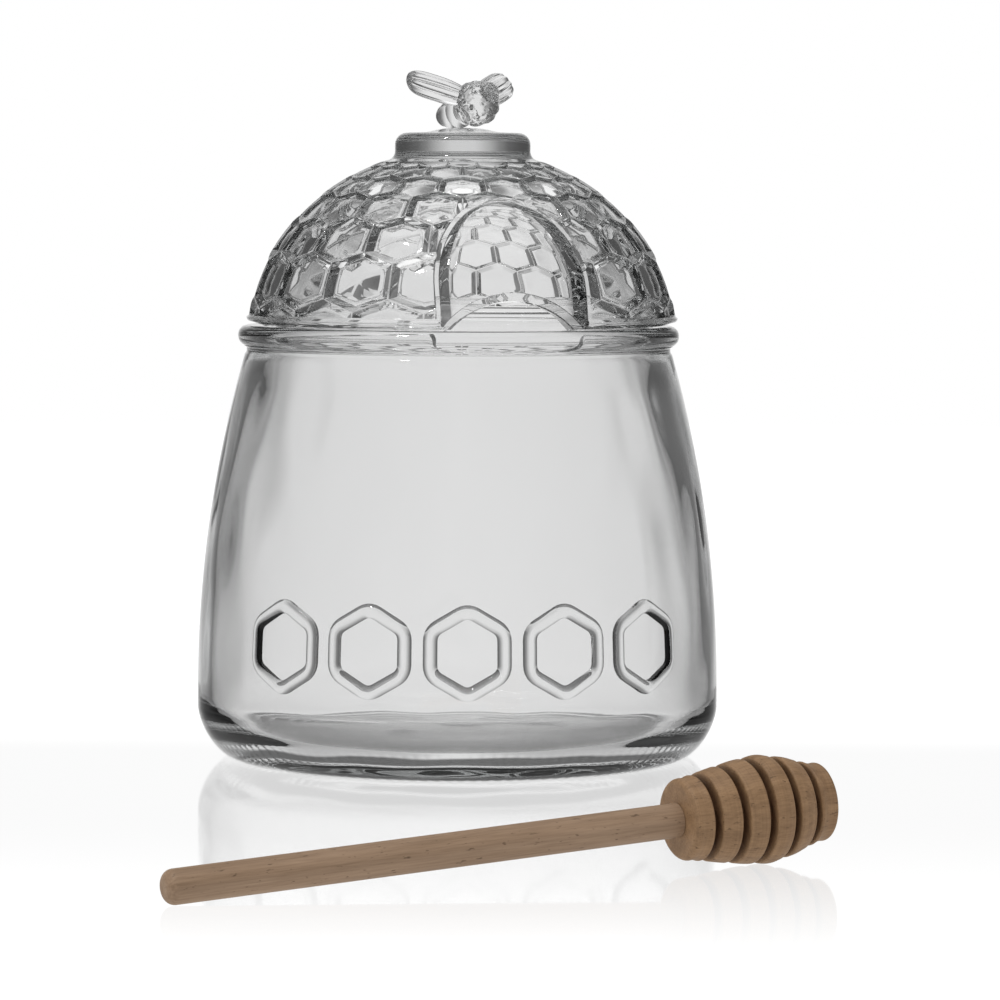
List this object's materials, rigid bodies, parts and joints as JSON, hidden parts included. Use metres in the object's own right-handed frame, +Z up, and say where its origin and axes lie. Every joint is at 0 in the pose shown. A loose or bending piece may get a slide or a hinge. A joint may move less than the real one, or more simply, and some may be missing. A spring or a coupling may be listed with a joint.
{
  "type": "honey jar with dipper",
  "caption": "Empty beehive-shaped jar of pressed clear glass with a domed honeycomb lid and bee finial, and a turned wooden honey dipper.",
  "frame": {"origin": "middle of the footprint of the jar and the dipper together, on the table", "axes": "+Z up; the jar's front, with its row of raised hexagons and the lid's door, faces -Y, and the dipper lies before it"},
  "size_m": [0.139, 0.3018, 0.162],
  "materials": {
    "jar_glass": "clear pressed glass, slightly grey, smooth with soft waves",
    "lid_glass": "clear pressed glass with a faceted honeycomb relief",
    "handle_wood": "plain sanded dowel, fine grain along its length",
    "head_wood": "turned and sanded, darker in the grooves"
  },
  "bodies": {
    "root": {"jar": "jar_glass", "lid": "lid_glass", "dipper_handle": "handle_wood", "dipper_head": "head_wood"}
  },
  "joints": []
}
